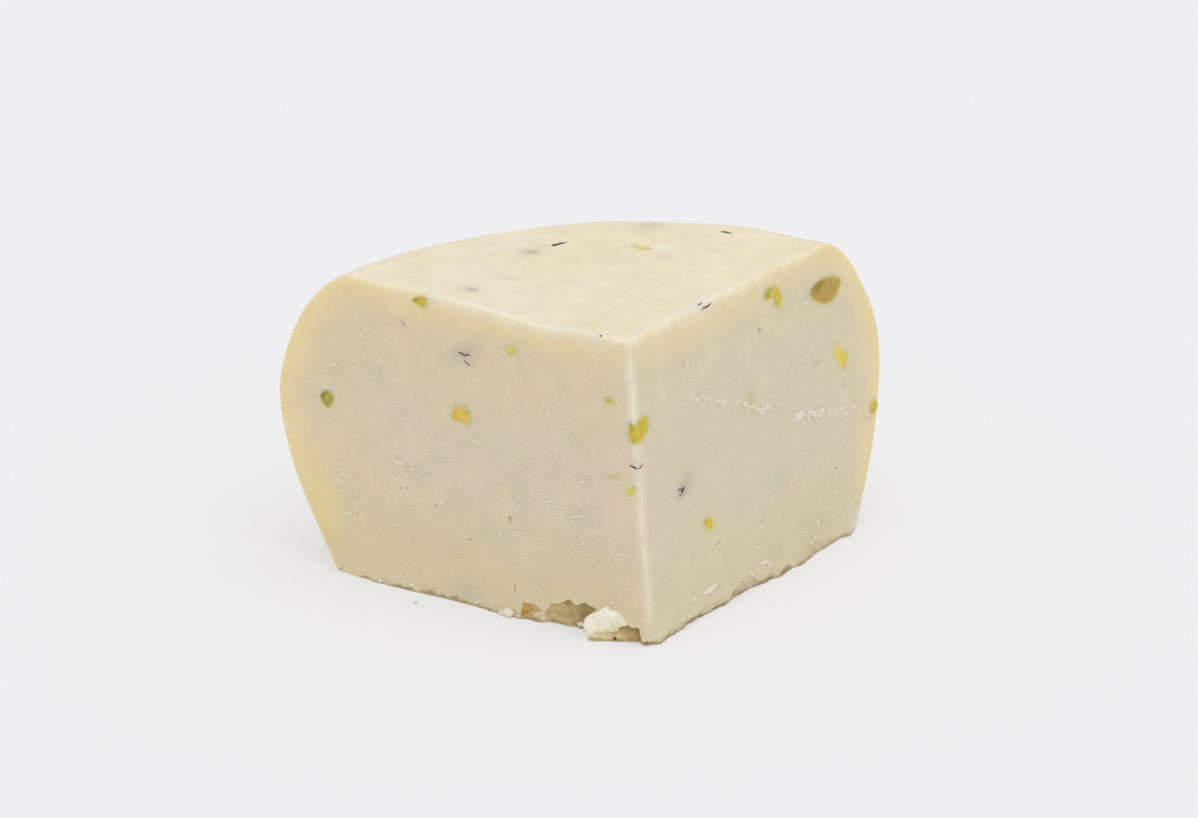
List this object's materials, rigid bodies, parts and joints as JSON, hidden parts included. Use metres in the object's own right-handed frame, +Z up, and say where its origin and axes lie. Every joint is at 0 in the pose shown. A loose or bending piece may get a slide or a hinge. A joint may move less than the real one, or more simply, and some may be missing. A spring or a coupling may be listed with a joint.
{
  "type": "pistachio pecorino",
  "caption": "Quarter cut from a small wheel of pale sheep's cheese, with pistachio kernels sliced open in its two cut faces; it rests on its flat base.",
  "frame": {"origin": "centre of the bounding box at the flat base", "axes": "+Z up, the edge where the two cuts meet faces -Y, the rind faces +Y, +X to the right seen from the edge"},
  "size_m": [0.1407, 0.0982, 0.0718],
  "materials": {
    "cheese": "waxy, slightly translucent paste, yellower towards the rind",
    "pistachio": "moist cut nut, yellow green to olive"
  },
  "bodies": {
    "root": {"cheese_quarter": "cheese", "kernel_right_edge": "pistachio", "kernel_right_large": "pistachio", "kernel_right_upper": "pistachio", "kernel_right_outer": "pistachio", "kernel_right_low": "pistachio", "kernel_right_rim": "pistachio", "kernel_left_middle": "pistachio", "kernel_left_outer": "pistachio", "kernel_left_top": "pistachio", "kernel_left_high": "pistachio", "kernel_left_low": "pistachio", "kernel_left_sliver": "pistachio", "kernel_top_first": "pistachio", "kernel_rind_right": "pistachio", "kernel_rind_left": "pistachio"}
  },
  "joints": []
}
